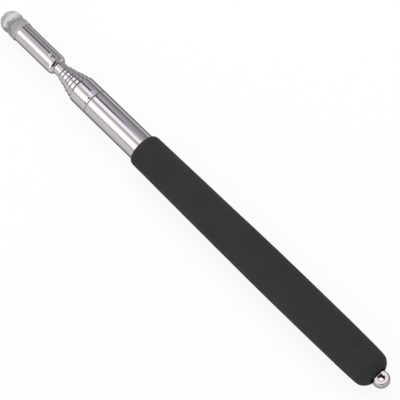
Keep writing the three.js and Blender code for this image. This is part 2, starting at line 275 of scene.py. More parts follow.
def relief(wiring, surface, heights):
    """Bumps the surface by a list of (height texture, height in millimetres)."""
    normal = None
    for texture, height in heights:
        inputs = {"Height": texture, "Strength": 1.0, "Distance": height * MM}
        if normal is not None:
            inputs["Normal"] = normal
        normal = wiring.add("ShaderNodeBump", inputs).outputs[0]
    wiring.feed(surface, "Normal", normal)


def mixed(wiring, share, first, second, kind="MIX"):
    """Two colours, each a value or a socket, mixed by the share of the second."""
    node = wiring.add("ShaderNodeMix", {0: share}, data_type="RGBA", blend_type=kind)
    for name, colour in (("A", first), ("B", second)):
        if isinstance(colour, bpy.types.NodeSocket):
            wiring.tree.links.new(colour, node.inputs[name])
        else:
            node.inputs[name].default_value = colour
    return node.outputs["Result"]


def spots(wiring, place, marks):
    """1 in the middle of each mark of (place, radius) in millimetres, falling to 0 outside it."""
    total = 0.0
    for middle, radius in marks:
        away = wiring.add("ShaderNodeVectorMath", {0: place, 1: middle}, operation="DISTANCE")
        share = wiring.remap(away.outputs["Value"], radius * SPOT_CORE, radius, 1, 0, smooth=True)
        total = wiring.maths("MAXIMUM", total, share)
    return total


def plated_steel(name, grain, scuffed=(), shaded_pits=()):
    """Bright plating, with pale scuffs and dark spots of painted shade. The grain is its lines' size
    on each axis.
    """
    material, surface, wiring, place = new_finish(name, STEEL_COLOUR, 1.0)
    lines = noise(wiring, stretched(wiring, place, grain), detail=3.0)
    haze = noise(wiring, place, size=HAZE_SIZE, detail=4.0)
    rubbing_and_painted_light = wiring.maths("ADD", wiring.remap(haze, *PATCH_EDGE, 0.0, HAZE_ROUGHNESS),
                          wiring.remap(lines, *LINE_EDGE, 0.0, DRAW_LINE_ROUGHNESS))
    colour = STEEL_COLOUR
    roughness = wiring.maths("ADD", rubbing_and_painted_light, STEEL_ROUGHNESS)
    if scuffed:
        dull = spots(wiring, place, scuffed)
        roughness = wiring.maths("ADD", roughness, wiring.maths("MULTIPLY", dull, SCUFF_ROUGHNESS))
        colour = mixed(wiring, dull, colour, STEEL_SCUFF)
    # Painted shade: dark spots that stand in for the shade in struck pits.
    if shaded_pits:
        colour = mixed(wiring, spots(wiring, place, shaded_pits), colour, STEEL_PIT_SHADE)
    wiring.feed(surface, "Base Color", colour)
    wiring.feed(surface, "Roughness", roughness)
    surface.inputs["Specular Tint"].default_value = STEEL_EDGE_TINT
    relief(wiring, surface, [(lines, DRAW_LINE_HEIGHT)])
    return material


DRAWN_STEEL = plated_steel("drawn_steel", (DRAW_LINE_LENGTH, DRAW_LINE_PITCH, DRAW_LINE_PITCH))

neck_front, handle_rear, handle_radius = span("handle_tube")
shoulder = neck_front + HANDLE_NECK_LENGTH
neck_radius = handle_radius - HANDLE_NECK_DROP
handle_tube = turned("barrel", [
    (neck_front, neck_radius - HANDLE_NECK_WALL),
    (neck_front, neck_radius),
    (shoulder, neck_radius),
    *arc((shoulder + HANDLE_SHOULDER_ROUND, handle_radius - HANDLE_SHOULDER_ROUND),
         (HANDLE_SHOULDER_ROUND, HANDLE_SHOULDER_ROUND), 180, 90),
    (handle_rear, handle_radius),
    (handle_rear, handle_radius - HANDLE_WALL),
    (shoulder + HANDLE_NECK_STOP, handle_radius - HANDLE_WALL),
    (shoulder + HANDLE_NECK_STOP, neck_radius - HANDLE_NECK_WALL),
], DRAWN_STEEL)
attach(handle_tube, "handle")
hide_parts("handle_tube")


# Front collar
# A short sleeve of turned and plated steel is pressed over the neck. Its rounded nose guides the
# largest sliding tube, and two pairs of punch marks stake it, beside the dull mark of the press.

COLLAR_FACETS = 400
COLLAR_TAPER = 0.04
COLLAR_NOSE_LENGTH = 0.7
COLLAR_EDGE_ROUND = 0.12
COLLAR_WALL = 0.22
COLLAR_LIP_WALL = 0.08
COLLAR_LIP_GAP = 0.04
COLLAR_SEAT_GAP = 0.05

PUNCH_INSET = 0.9
PUNCH_ANGLES = (19, 43, 199, 223)
PUNCH_RADIUS = 0.36
PUNCH_DEPTH = 0.15
PUNCH_BURR = 0.01
PUNCH_FINE_STEP = 0.06
BURR_START = 0.7
BURR_PEAK = 1.1
BURR_END = 1.7
PRESS_MARK_INSET = 1.15
PRESS_MARK_ANGLE = -9
PRESS_MARK_RADIUS = 1.25
PRESS_MARK_DEPTH = 0.01

RING_LINE_PITCH = 0.12
RING_LINE_LENGTH = 8.0


def punch_mark_tree():
    """Sinks a round crater with a raised burr into a turned wall, at an angle from overhead."""
    inputs = {"Mark X": float, "Mark Angle": float, "Wall Radius": float, "Bore Radius": float,
              "Axis Height": float, "Mark Radius": float, "Depth": float, "Burr": float,
              "Material": bpy.types.Material}
    tree, wiring, sizes = new_tree("punch_mark", inputs)
    sideways = wiring.maths("MULTIPLY", wiring.maths("SINE", sizes["Mark Angle"]),
                            sizes["Wall Radius"])
    upwards = wiring.maths("MULTIPLY", wiring.maths("COSINE", sizes["Mark Angle"]),
                           sizes["Wall Radius"])
    mark = wiring.point(sizes["Mark X"], wiring.maths("MULTIPLY", sideways, -1.0),
                        wiring.maths("ADD", upwards, sizes["Axis Height"]))
    here = wiring.add("GeometryNodeInputPosition").outputs[0]
    away = wiring.add("ShaderNodeVectorMath", {0: here, 1: mark}, operation="DISTANCE")
    distance = wiring.maths("DIVIDE", away.outputs["Value"], sizes["Mark Radius"])
    crater = wiring.maths("MULTIPLY", wiring.remap(distance, 0.0, 1.0, -1.0, 0.0, smooth=True),
                          sizes["Depth"])
    rise = wiring.remap(distance, BURR_START, BURR_PEAK, 0.0, 1.0, smooth=True)
    fall = wiring.remap(distance, BURR_PEAK, BURR_END, 1.0, 0.0, smooth=True)
    burr = wiring.maths("MULTIPLY", wiring.maths("MULTIPLY", rise, fall), sizes["Burr"])
    height = wiring.maths("ADD", crater, burr)
    parts = wiring.add("ShaderNodeSeparateXYZ", {0: here}).outputs
    from_axis = wiring.point(0.0, parts[1], wiring.maths("SUBTRACT", parts[2], sizes["Axis Height"]))
    radius = wiring.add("ShaderNodeVectorMath", {0: from_axis}, operation="LENGTH").outputs["Value"]
    outwards = wiring.add("ShaderNodeVectorMath", {0: from_axis}, operation="NORMALIZE").outputs[0]
    step = wiring.add("ShaderNodeVectorMath", {0: outwards, "Scale": height}, operation="SCALE")
    outside = wiring.add("FunctionNodeCompare", {0: radius, 1: sizes["Bore Radius"]},
                         operation="GREATER_THAN")
    struck = wiring.add("GeometryNodeSetPosition", {
        "Geometry": sizes["Geometry"],
        "Selection": outside.outputs[0],
        "Offset": step.outputs[0],
    })
    close_tree(wiring, struck.outputs[0], sizes["Material"])
    return tree


PUNCH_MARK = punch_mark_tree()


def punch(piece, material, x, wall_radius, wall, degrees, mark_radius, depth, burr=0.0):
    """Strikes a mark into a turned piece. Lengths are in millimetres."""
    run_tree(piece, PUNCH_MARK, {
        "Mark X": x * MM,
        "Mark Angle": math.radians(degrees),
        "Wall Radius": wall_radius * MM,
        "Bore Radius": (wall_radius - wall / 2) * MM,
        "Axis Height": AXIS_HEIGHT,
        "Mark Radius": mark_radius * MM,
        "Depth": depth * MM,
        "Burr": burr * MM,
        "Material": material,
    })


def fine_rows(front, rear, radius_at):
    """Closely spaced points of a wall's section, for the marks that are struck into it."""
    steps = round((rear - front) / PUNCH_FINE_STEP)
    rows = [front + (rear - front) * i / steps for i in range(steps + 1)]
    return [(x, radius_at(x)) for x in rows]


collar_front, collar_rear, collar_radius = span("front_collar")
largest_radius = span("stage_6")[2]
collar_bore = collar_radius - COLLAR_WALL
lip_bore = largest_radius + COLLAR_LIP_GAP
nose_edge = lip_bore + COLLAR_LIP_WALL
punch_x = shoulder - PUNCH_INSET
press_x = shoulder - PRESS_MARK_INSET
marks_front = press_x - PRESS_MARK_RADIUS
marks_rear = collar_rear - COLLAR_EDGE_ROUND - PUNCH_FINE_STEP


def on_wall(x, degrees, radius):
    """A place on a turned wall, at an angle from overhead, in millimetres."""
    angle = math.radians(degrees)
    return (x, -radius * math.sin(angle), AXIS_HEIGHT / MM + radius * math.cos(angle))


# The punch marks' pits get dark spots of painted shade.
TURNED_STEEL = plated_steel(
    "turned_steel", (RING_LINE_PITCH, RING_LINE_LENGTH, RING_LINE_LENGTH),
    scuffed=[(on_wall(press_x, PRESS_MARK_ANGLE, collar_radius), PRESS_MARK_RADIUS)],
    shaded_pits=[(on_wall(punch_x, degrees, collar_radius), PUNCH_RADIUS) for degrees in PUNCH_ANGLES])


def collar_wall_radius(x):
    """The collar widens a little towards the rear."""
    wall_front = collar_front + COLLAR_NOSE_LENGTH
    along = (x - wall_front) / (collar_rear - wall_front)
    return collar_radius - COLLAR_TAPER * (1 - along)


front_collar = turned("front_sleeve", [
    (collar_front, lip_bore),
    *arc((collar_front + COLLAR_NOSE_LENGTH, nose_edge),
         (COLLAR_NOSE_LENGTH, collar_radius - COLLAR_TAPER - nose_edge), 180, 90, steps=14),
    *fine_rows(marks_front, marks_rear, collar_wall_radius),
    *arc((collar_rear - COLLAR_EDGE_ROUND, collar_radius - COLLAR_EDGE_ROUND),
         (COLLAR_EDGE_ROUND, COLLAR_EDGE_ROUND), 90, 0, steps=4),
    (collar_rear, collar_bore),
    (neck_front - COLLAR_SEAT_GAP, collar_bore),
    (neck_front - COLLAR_SEAT_GAP, lip_bore),
], TURNED_STEEL, facets=COLLAR_FACETS)
punch(front_collar, TURNED_STEEL, press_x, collar_radius, COLLAR_WALL,
      PRESS_MARK_ANGLE, PRESS_MARK_RADIUS, PRESS_MARK_DEPTH)
for degrees in PUNCH_ANGLES:
    punch(front_collar, TURNED_STEEL, punch_x, collar_radius, COLLAR_WALL,
          degrees, PUNCH_RADIUS, PUNCH_DEPTH, PUNCH_BURR)
shade(front_collar)
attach(front_collar, "handle")
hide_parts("front_collar")


# Sliding tubes
# Six drawn and plated steel tubes nest in each other. Each is necked at the rear for its friction
# bush. All but the smallest are swaged in at the front to a lip that slides on the next smaller.

STAGES = 6
TUBE_WALL = 0.25
LIP_LENGTH = 0.55
LIP_EDGE = 0.08
LIP_GAP = 0.04
LIP_STEPS = 10
REAR_NECK_DEPTH = 0.15
REAR_NECK_TAPER = 0.3
REAR_NECK_LENGTH = 5.5
REAR_RIM_LENGTH = 0.8
REAR_RIM_DROP = 0.03


def swaged_tube_tree():
    """Makes one sliding tube from its sizes: the rule that all six tubes follow."""
    lengths = ["Front", "Length", "Radius", "Wall", "Lip Bore", "Lip Edge", "Lip Length",
               "Neck Depth", "Neck Taper", "Neck Length", "Rim Length", "Rim Drop", "Axis Height"]
    inputs = {name: float for name in lengths}
    inputs.update({"Facets": int, "Material": bpy.types.Material})
    tree, wiring, sizes = new_tree("swaged_tube", inputs)

    def plus(a, b):
        return wiring.maths("ADD", a, b)

    def minus(a, b):
        return wiring.maths("SUBTRACT", a, b)

    radius = sizes["Radius"]
    bore = minus(radius, sizes["Wall"])
    neck = minus(radius, sizes["Neck Depth"])
    neck_bore = minus(neck, sizes["Wall"])
    rim = minus(radius, sizes["Rim Drop"])
    edge = plus(sizes["Lip Bore"], sizes["Lip Edge"])
    rim_start = minus(sizes["Length"], sizes["Rim Length"])
    wall_end = minus(rim_start, sizes["Neck Length"])
    neck_start = plus(wall_end, sizes["Neck Taper"])
    corners = [
        (plus(sizes["Lip Length"], SUPPORT_STEP * MM), radius),
        (minus(wall_end, SUPPORT_STEP * MM), radius),
        (wall_end, radius),
        (neck_start, neck),
        (rim_start, neck),
        (rim_start, rim),
        (sizes["Length"], rim),
        (sizes["Length"], neck_bore),
        (neck_start, neck_bore),
        (wall_end, bore),
        (sizes["Lip Length"], bore),
        (sizes["Lip Length"], sizes["Lip Bore"]),
        (0.0, sizes["Lip Bore"]),
    ]
    index = wiring.add("GeometryNodeInputIndex").outputs[0]
    angle = wiring.maths("MULTIPLY", index, math.pi / 2 / LIP_STEPS)
    lip_x = wiring.maths("MULTIPLY", sizes["Lip Length"],
                         minus(1.0, wiring.maths("COSINE", angle)))
    lip_rise = wiring.maths("MULTIPLY", minus(radius, edge), wiring.maths("SINE", angle))
    lip = wiring.point(plus(edge, lip_rise), lip_x)
    corner = wiring.add("GeometryNodeIndexSwitch", data_type="VECTOR")
    for _ in range(len(corners) - len(corner.index_switch_items)):
        corner.index_switch_items.new()
    wiring.feed(corner, 0, minus(index, LIP_STEPS + 1.0))
    for i, (x, r) in enumerate(corners):
        wiring.feed(corner, i + 1, wiring.point(r, x))
    past_lip = wiring.add("FunctionNodeCompare", {2: index, 3: LIP_STEPS},
                          data_type="INT", operation="GREATER_THAN")
    chosen = wiring.add("GeometryNodeSwitch", {0: past_lip.outputs[0], 1: lip, 2: corner.outputs[0]},
                        input_type="VECTOR")
    start = wiring.point(-SWEEP_RADIUS, sizes["Front"])
    placed = wiring.add("ShaderNodeVectorMath", {0: chosen.outputs[0], 1: start}, operation="ADD")
    line = wiring.add("GeometryNodeMeshLine", {"Count": LIP_STEPS + 1 + len(corners)})
    bent = wiring.add("GeometryNodeSetPosition",
                      {"Geometry": line.outputs[0], "Position": placed.outputs[0]})
    section = wiring.add("GeometryNodeMeshToCurve", {0: bent.outputs[0]})
    ring = wiring.add("GeometryNodeSetSplineCyclic", {"Geometry": section.outputs[0], "Cyclic": True})
    close_tree(wiring, sweep_round_axis(wiring, ring.outputs[0], sizes), sizes["Material"])
    return tree


SWAGED_TUBE = swaged_tube_tree()

for stage in range(1, STAGES + 1):
    node = f"stage_{stage}"
    front, rear, radius = span(node)
    plain_front = stage == 1
    guide = radius - TUBE_WALL if plain_front else span(f"stage_{stage - 1}")[2] + LIP_GAP
    tube = new_piece(f"tube_{stage}", [])
    run_tree(tube, SWAGED_TUBE, {
        "Front": front * MM,
        "Length": (rear - front) * MM,
        "Radius": radius * MM,
        "Wall": TUBE_WALL * MM,
        "Lip Bore": guide * MM,
        "Lip Edge": (TUBE_WALL if plain_front else LIP_EDGE) * MM,
        "Lip Length": LIP_LENGTH * MM,
        "Neck Depth": REAR_NECK_DEPTH * MM,
        "Neck Taper": REAR_NECK_TAPER * MM,
        "Neck Length": REAR_NECK_LENGTH * MM,
        "Rim Length": REAR_RIM_LENGTH * MM,
        "Rim Drop": REAR_RIM_DROP * MM,
        "Axis Height": AXIS_HEIGHT,
        "Facets": TUBE_FACETS,
        "Material": DRAWN_STEEL,
    })
    shade(tube)
    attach(tube, f"section_{stage}")
    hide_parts(node)


# Friction bushes
# A split phosphor bronze bush sits round the necked rear end of each sliding tube and springs
# against the bore round it. They show only when the pointer is taken apart.

BRONZE_COLOUR = (0.66, 0.47, 0.29, 1)
BRONZE_ROUGHNESS = 0.32
TOOL_RING_LENGTH = 12.0
TOOL_RING_HEIGHT = 0.002
TARNISH_SIZE = 2.5
TARNISH_SHADE = 0.72
TARNISH_POLISH = 0.8
TARNISH_DULLNESS = 1.3

# Values between which most of a noise texture lies.
NOISE_SPREAD = (0.3, 0.7)


def turned_metal(name, colour, roughness):
    """Bare turned metal with rings from the tool and a slightly uneven tarnish."""
    material, surface, wiring, place = new_finish(name, colour, 1.0)
    ring_size = (RING_LINE_PITCH, TOOL_RING_LENGTH, TOOL_RING_LENGTH)
    rings = noise(wiring, stretched(wiring, place, ring_size), detail=2.0)
    tarnish = noise(wiring, place, size=TARNISH_SIZE, detail=5.0)
    darker = tuple(TARNISH_SHADE * c for c in colour[:3]) + (1,)
    shades = mixed(wiring, wiring.remap(tarnish, *PATCH_EDGE, 0.0, 1.0), colour, darker)
    wiring.feed(surface, "Base Color", shades)
    worn = wiring.remap(tarnish, *NOISE_SPREAD,
                        roughness * TARNISH_POLISH, roughness * TARNISH_DULLNESS)
    wiring.feed(surface, "Roughness", worn)
    relief(wiring, surface, [(rings, TOOL_RING_HEIGHT)])
    return material


def dress(node, material):
    """Gives a CAD node its finish."""
    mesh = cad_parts[node].data
    mesh.materials.clear()
    mesh.materials.append(material)


BRONZE = turned_metal("phosphor_bronze", BRONZE_COLOUR, BRONZE_ROUGHNESS)
for stage in range(1, STAGES + 1):
    dress(f"bush_{stage}", BRONZE)


# Ferrule
# A short plated steel tube joins the stylus dome to the smallest sliding tube. Its front edge is
# broken, and its rear end is rolled in, in one arc, down to the shank, behind a scuffed dent.

FERRULE_WALL = 0.38
FERRULE_MOUTH_GAP = 0.04
FERRULE_ROLL_RADIUS = 1.68
FERRULE_EDGE_ROUND = 0.06
FERRULE_FACETS = 300
FERRULE_MARK_INSET = 3.5
FERRULE_MARK_ANGLE = -2
FERRULE_MARK_RADIUS = 0.75
FERRULE_MARK_DEPTH = 0.045
FERRULE_SCUFF_OFFSET = 0.3

ferrule_front, ferrule_rear, ferrule_radius = span("tip_ferrule")
shank_radius = span("stage_1")[2]
ferrule_mouth = shank_radius + FERRULE_MOUTH_GAP
ferrule_bore = ferrule_radius - FERRULE_WALL
roll_inner = FERRULE_ROLL_RADIUS - FERRULE_WALL
roll_centre = ferrule_radius - FERRULE_ROLL_RADIUS
outer_angle, inner_angle = (math.asin((ferrule_mouth - roll_centre) / radius)
                            for radius in (FERRULE_ROLL_RADIUS, roll_inner))
roll_start = ferrule_rear - FERRULE_ROLL_RADIUS * math.cos(outer_angle)
ferrule_mark = ferrule_rear - FERRULE_MARK_INSET
ferrule_scuff = on_wall(ferrule_mark - FERRULE_SCUFF_OFFSET, FERRULE_MARK_ANGLE, ferrule_radius)
SCUFFED_STEEL = plated_steel(
    "scuffed_steel", (DRAW_LINE_LENGTH, DRAW_LINE_PITCH, DRAW_LINE_PITCH),
    scuffed=[(ferrule_scuff, FERRULE_MARK_RADIUS)])
tip_ferrule = turned("ferrule", [
    (ferrule_front, ferrule_bore),
    *arc((ferrule_front + FERRULE_EDGE_ROUND, ferrule_radius - FERRULE_EDGE_ROUND),
         (FERRULE_EDGE_ROUND, FERRULE_EDGE_ROUND), 180, 90, steps=5),
    *fine_rows(ferrule_mark - FERRULE_MARK_RADIUS, ferrule_mark + FERRULE_MARK_RADIUS,
               lambda x: ferrule_radius),
    *arc((roll_start, roll_centre), (FERRULE_ROLL_RADIUS, FERRULE_ROLL_RADIUS),
         90, math.degrees(outer_angle), steps=24),
    *arc((roll_start, roll_centre), (roll_inner, roll_inner),
         math.degrees(inner_angle), 90, steps=6),
], SCUFFED_STEEL, facets=FERRULE_FACETS)
punch(tip_ferrule, SCUFFED_STEEL, ferrule_mark, ferrule_radius, FERRULE_WALL,
      FERRULE_MARK_ANGLE, FERRULE_MARK_RADIUS, FERRULE_MARK_DEPTH)
shade(tip_ferrule)
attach(tip_ferrule, "section_1")
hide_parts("tip_ferrule")


# Adapter, ring and core
# A turned brass adapter holds the ferrule on the shank. A brass ring clamps the dome's skirt
# round a nylon core, which keeps the dome round. All three are hidden inside.

BRASS_COLOUR = (0.71, 0.6, 0.36, 1)
BRASS_ROUGHNESS = 0.26
NYLON_COLOUR = (0.7, 0.69, 0.65, 1)
NYLON_ROUGHNESS = (0.42, 0.58)
NYLON_CLOUD = 1.5
NYLON_GRAIN = 0.12
NYLON_GRAIN_HEIGHT = 0.004


def moulded_nylon():
    """Natural nylon, faintly cloudy, with the soft grain of its mould."""
    material, surface, wiring, place = new_finish("moulded_nylon", NYLON_COLOUR, 0.0)
    cloud = noise(wiring, place, size=NYLON_CLOUD, detail=3.0)
    wiring.feed(surface, "Roughness", wiring.remap(cloud, *NOISE_SPREAD, *NYLON_ROUGHNESS))
    grain = noise(wiring, place, size=NYLON_GRAIN, detail=2.0)
    relief(wiring, surface, [(grain, NYLON_GRAIN_HEIGHT)])
    return material


BRASS = turned_metal("turned_brass", BRASS_COLOUR, BRASS_ROUGHNESS)
dress("ferrule_adapter", BRASS)
dress("tip_retaining_ring", BRASS)
dress("tip_core", moulded_nylon())


# Stylus dome
# The tip is a soft rubber dome with a skin of fine silvery conductive cloth, slightly wider
# than the ferrule. Its skirt is held inside the ferrule, and use has pressed a crease round it.

DOME_FACETS = 220
DOME_CAP_ROWS = 50
DOME_SIDE_ROWS = 40
DOME_EDGE_ROUND_LENGTH = 0.6
DOME_SKIRT_GAP = 0.02
DOME_SKIRT_WALL = 0.7
DOME_WALL = 1.05
DOME_SEAT_GAP = 0.02
DOME_LAP = 0.12
DOME_LAP_THICKNESS = 0.04
DOME_LAP_GAP = 0.01
CORE_SHOULDER = 0.6

DOME_CREASE = 5.7
DOME_CREASE_WIDTH = 0.7
DOME_CREASE_DEPTH = 0.22
DOME_COLOUR = (0.4, 0.4, 0.4, 1)
DOME_DARK = (0.27, 0.27, 0.275, 1)
# Painted light: a painted highlight on the tip, and a pale band by the skirt.
DOME_PAINTED_LIGHT = (0.75, 0.75, 0.75, 1)
# Painted shade on the tip's front, in the crease and lower down.
DOME_PAINTED_SHADE = (0.16, 0.16, 0.16, 1)
DOME_METALLIC = 0.15
DOME_ROUGHNESS = (0.38, 0.5)
MOTTLE_SIZE = 1.1
MOTTLE_EDGE = (0.35, 0.68)
SMEAR_SIZE = 2.5
SMEAR_SPREAD = (0.25, 0.75)
SMEAR_REACH = 1.0
CLOTH_CELL = 0.28
CLOTH_DEPTH = 0.012
CLOTH_RELIEF = 0.02
FIBRE_SIZE = 0.07
FIBRE_RELIEF = 0.01
DENT_SIZE = 2.0
DENT_DEPTH = 0.22

# Where the cloth's painted light and painted shade change, in millimetres behind the crease or above
# the axis, and how much of the other colour shows there. The skirt's painted light grows over its
# band, and the others fade.
TIP_PAINTED_HIGHLIGHT = (-1.8, 0.4)
TIP_PAINTED_HIGHLIGHT_SHARE = 0.85
SKIRT_PAINTED_LIGHT = (2.7, 3.9)
SKIRT_PAINTED_LIGHT_SHARE = 0.55
CREASE_PAINTED_SHADE = (0, 1.3)
CREASE_PAINTED_SHADE_SHARE = 0.6
TIP_PAINTED_SHADE = (-3.6, -1.6)
TIP_PAINTED_SHADE_SHARE = 0.6
LOW_PAINTED_SHADE = (-0.3, 3.1)
LOW_PAINTED_SHADE_SHARE = 0.9

# Distance from the middle of a skin's cell to its edge, and the spread of the noise of its dents.
CELL_REACH = 0.7
DENT_SPREAD = (0.2, 0.8)


def conductive_cloth(crease_x):
    """Fine silvery cloth over rubber: painted light on tip and skirt, painted shade on tip, crease and
    below.
    """
    material, surface, wiring, place = new_finish("conductive_cloth", DOME_COLOUR, DOME_METALLIC)

    def band(value, ends, share):
        return wiring.remap(value, *ends, share, 0, smooth=True)

    mottle = noise(wiring, place, size=MOTTLE_SIZE, detail=4.0)
    shade_here = mixed(wiring, wiring.remap(mottle, *MOTTLE_EDGE, 0, 1), DOME_COLOUR, DOME_DARK)
    parts = wiring.add("ShaderNodeSeparateXYZ", {0: place}).outputs
    smear = noise(wiring, place, size=SMEAR_SIZE, detail=3.0)
    behind = wiring.maths("ADD", parts[0], wiring.remap(
        smear, *SMEAR_SPREAD, -crease_x - SMEAR_REACH, -crease_x + SMEAR_REACH))
    # Painted highlight on the tip and painted light in a band by the skirt, both in the paler colour.
    rubbing_and_painted_light = wiring.maths("MAXIMUM", band(behind, TIP_PAINTED_HIGHLIGHT, TIP_PAINTED_HIGHLIGHT_SHARE),
                          wiring.remap(behind, *SKIRT_PAINTED_LIGHT, 0, SKIRT_PAINTED_LIGHT_SHARE, smooth=True))
    shade_here = mixed(wiring, rubbing_and_painted_light, shade_here, DOME_PAINTED_LIGHT)
    # Painted shade in the crease and on the tip's front, in the darkest colour.
    crease_painted_shade = band(wiring.maths("ABSOLUTE", behind), CREASE_PAINTED_SHADE, CREASE_PAINTED_SHADE_SHARE)
    painted_shade = wiring.maths("MAXIMUM", crease_painted_shade, band(behind, TIP_PAINTED_SHADE, TIP_PAINTED_SHADE_SHARE))
    shade_here = mixed(wiring, painted_shade, shade_here, DOME_PAINTED_SHADE)
    # Painted shade: the cloth darkens towards the bottom.
    above = wiring.maths("SUBTRACT", parts[2], AXIS_HEIGHT / MM)
    shade_here = mixed(wiring, band(above, LOW_PAINTED_SHADE, LOW_PAINTED_SHADE_SHARE), shade_here, DOME_PAINTED_SHADE)
    wiring.feed(surface, "Base Color", shade_here)
    wiring.feed(surface, "Roughness", wiring.remap(mottle, *NOISE_SPREAD, *DOME_ROUGHNESS))
    cells = wiring.add("ShaderNodeTexVoronoi", {"Vector": place, "Scale": 1 / CLOTH_CELL},
                       feature="F1")
    fibres = noise(wiring, place, size=FIBRE_SIZE, detail=2.0)
    relief(wiring, surface, [(cells.outputs["Distance"], CLOTH_RELIEF), (fibres, FIBRE_RELIEF)])
    return material


def soft_skin_tree():
    """Presses shallow dents and a fine cell pattern into the outside of a soft piece."""
    inputs = {"Cell Size": float, "Cell Depth": float, "Dent Size": float, "Dent Depth": float,
              "Skin Radius": float, "Axis Height": float, "Rest Softness": float,
              "Material": bpy.types.Material}
    tree, wiring, sizes = new_tree("soft_skin", inputs)
    place = wiring.add("GeometryNodeInputPosition").outputs[0]
    cells = wiring.add("ShaderNodeTexVoronoi", {
        "Vector": place,
        "Scale": wiring.maths("DIVIDE", 1.0, sizes["Cell Size"]),
    }, feature="SMOOTH_F1")
    dents = wiring.add("ShaderNodeTexNoise", {
        "Vector": place,
        "Scale": wiring.maths("DIVIDE", 1.0, sizes["Dent Size"]),
        "Detail": 1.0,
    })
    bulge = wiring.remap(cells.outputs["Distance"], 0, CELL_REACH, 0.5, -0.5)
    cell_height = wiring.maths("MULTIPLY", bulge, sizes["Cell Depth"])
    swell = wiring.remap(dents.outputs["Fac"], *DENT_SPREAD, -0.5, 0.5)
    dent_height = wiring.maths("MULTIPLY", swell, sizes["Dent Depth"])
    height = wiring.maths("ADD", cell_height, dent_height)
    parts = wiring.add("ShaderNodeSeparateXYZ", {0: place}).outputs
    from_axis = wiring.point(0.0, parts[1], wiring.maths("SUBTRACT", parts[2], sizes["Axis Height"]))
    radius = wiring.add("ShaderNodeVectorMath", {0: from_axis}, operation="LENGTH").outputs["Value"]
    normal = wiring.add("GeometryNodeInputNormal").outputs[0]
    step = wiring.add("ShaderNodeVectorMath", {0: normal, "Scale": height}, operation="SCALE")
    outside = wiring.add("FunctionNodeCompare", {0: radius, 1: sizes["Skin Radius"]},
                         operation="GREATER_THAN")
    pressed = wiring.add("GeometryNodeSetPosition", {
        "Geometry": sizes["Geometry"],
        "Selection": outside.outputs[0],
        "Offset": step.outputs[0],
    })
    moved = wiring.add("ShaderNodeSeparateXYZ",
                       {0: wiring.add("GeometryNodeInputPosition").outputs[0]}).outputs
    lifted = wiring.maths("SMOOTH_MAX", moved[2], 0.0, sizes["Rest Softness"])
    rested = wiring.add("GeometryNodeSetPosition", {
        "Geometry": pressed.outputs[0],
        "Position": wiring.point(moved[0], moved[1], lifted),
    })
    close_tree(wiring, rested.outputs[0], sizes["Material"])
    return tree


SOFT_SKIN = soft_skin_tree()

dome_front, skirt_rear, dome_radius = span("tip_dome")
dome_rear = ferrule_front - DOME_SEAT_GAP
skirt_radius = ferrule_bore - DOME_SKIRT_GAP
hollow_radius = dome_radius - DOME_WALL
hollow_end = dome_rear - CORE_SHOULDER
skirt_bore = skirt_radius - DOME_SKIRT_WALL
dome_centre = dome_front + dome_radius
lap_end = ferrule_front + DOME_LAP
lap_bore = ferrule_radius + DOME_LAP_GAP
lap_radius = lap_bore + DOME_LAP_THICKNESS
dome_side = lap_end - DOME_EDGE_ROUND_LENGTH - dome_centre
CONDUCTIVE_CLOTH = conductive_cloth(dome_front + DOME_CREASE)


def dome_wall_radius(x):
    """The dome's side, with a soft crease round it where use has pressed it."""
    off = (x - dome_front - DOME_CREASE) / DOME_CREASE_WIDTH
    return dome_radius - DOME_CREASE_DEPTH * math.exp(-off * off)


dome_side_rows = [dome_centre + dome_side * i / DOME_SIDE_ROWS for i in range(1, DOME_SIDE_ROWS)]
tip_dome = turned("soft_tip", [
    *arc((dome_centre, 0), (dome_radius, dome_radius), 180, 90, steps=DOME_CAP_ROWS),
    *[(x, dome_wall_radius(x)) for x in dome_side_rows],
    *arc((lap_end - DOME_EDGE_ROUND_LENGTH, lap_radius),
         (DOME_EDGE_ROUND_LENGTH, dome_radius - lap_radius), 90, 0),
    (lap_end, lap_bore),
    (dome_rear, lap_bore),
    (dome_rear, skirt_radius),
    (skirt_rear, skirt_radius),
    (skirt_rear, skirt_bore),
    (hollow_end, skirt_bore),
    (hollow_end - (hollow_radius - skirt_bore), hollow_radius),
    *arc((dome_centre, 0), (hollow_radius, hollow_radius), 90, 180, steps=12),
], CONDUCTIVE_CLOTH, facets=DOME_FACETS, closed=False)
run_tree(tip_dome, SOFT_SKIN, {
    "Cell Size": CLOTH_CELL * MM,
    "Cell Depth": CLOTH_DEPTH * MM,
    "Dent Size": DENT_SIZE * MM,
    "Dent Depth": DENT_DEPTH * MM,
    "Skin Radius": 0.0,
    "Axis Height": AXIS_HEIGHT,
    "Rest Softness": 0.0,
    "Material": CONDUCTIVE_CLOTH,
})
shade(tip_dome, sharp_degrees=50)
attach(tip_dome, "section_1")
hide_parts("tip_dome")


# End plug
# A turned brass plug is pressed into the rear of the barrel, with a groove for the press and a
# flange that stops it. The stem of the lanyard ball is screwed into it.

dress("end_plug", BRASS)


# Foam grip
# A long sleeve of closed-cell black foam is pulled over the barrel. It swells towards the rear,
# its front edge is rounded, and its rear end closes in round the ball. It is pressed flat below.

GRIP_FACETS = 220
GRIP_ROW_STEP = 0.3
GRIP_FRONT_THICKNESS = 1.03
GRIP_REAR_THICKNESS = 1.2
GRIP_GAP = 0.05
GRIP_FRONT_ROUND = (1.8, 0.85)
GRIP_BELLY = (57.85, 75.85)
GRIP_MOUTH_GAP = 0.19
GRIP_END_WALL = 1.85
GRIP_END_ROUND_LENGTH = 3.8
GRIP_RIM_ROUND = 0.85

